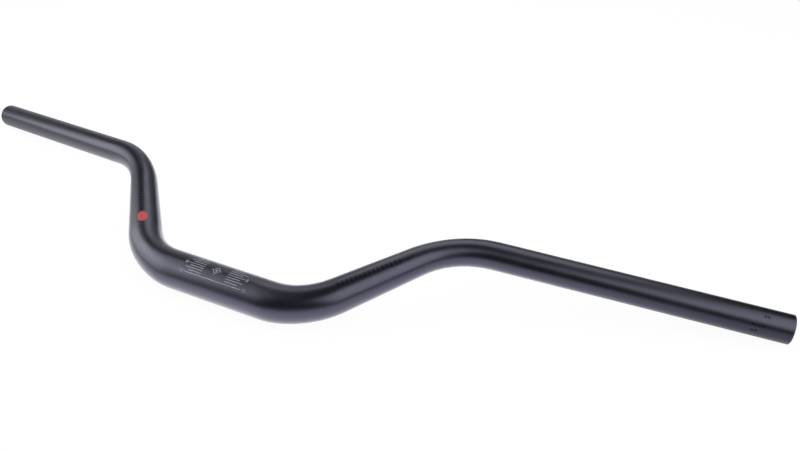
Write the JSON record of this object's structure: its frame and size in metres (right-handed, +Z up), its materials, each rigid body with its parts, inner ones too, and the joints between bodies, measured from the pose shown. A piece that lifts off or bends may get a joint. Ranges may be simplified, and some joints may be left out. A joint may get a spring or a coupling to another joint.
{
  "type": "riser handlebar",
  "caption": "Bicycle riser handlebar: a bent, tapered, hollow aluminium tube with a fat straight clamp zone, rising bends and swept-back grips.",
  "frame": {"origin": "middle of the clamp zone, on the tube's axis", "axes": "+X along the clamp zone, +Z up from the table that the bar lies on, +Y the way the rise points"},
  "size_m": [0.805, 0.1738, 0.0499],
  "materials": {
    "black_tube": "satin"
  },
  "bodies": {
    "root": {"handlebar_tube": "black_tube"}
  },
  "joints": []
}
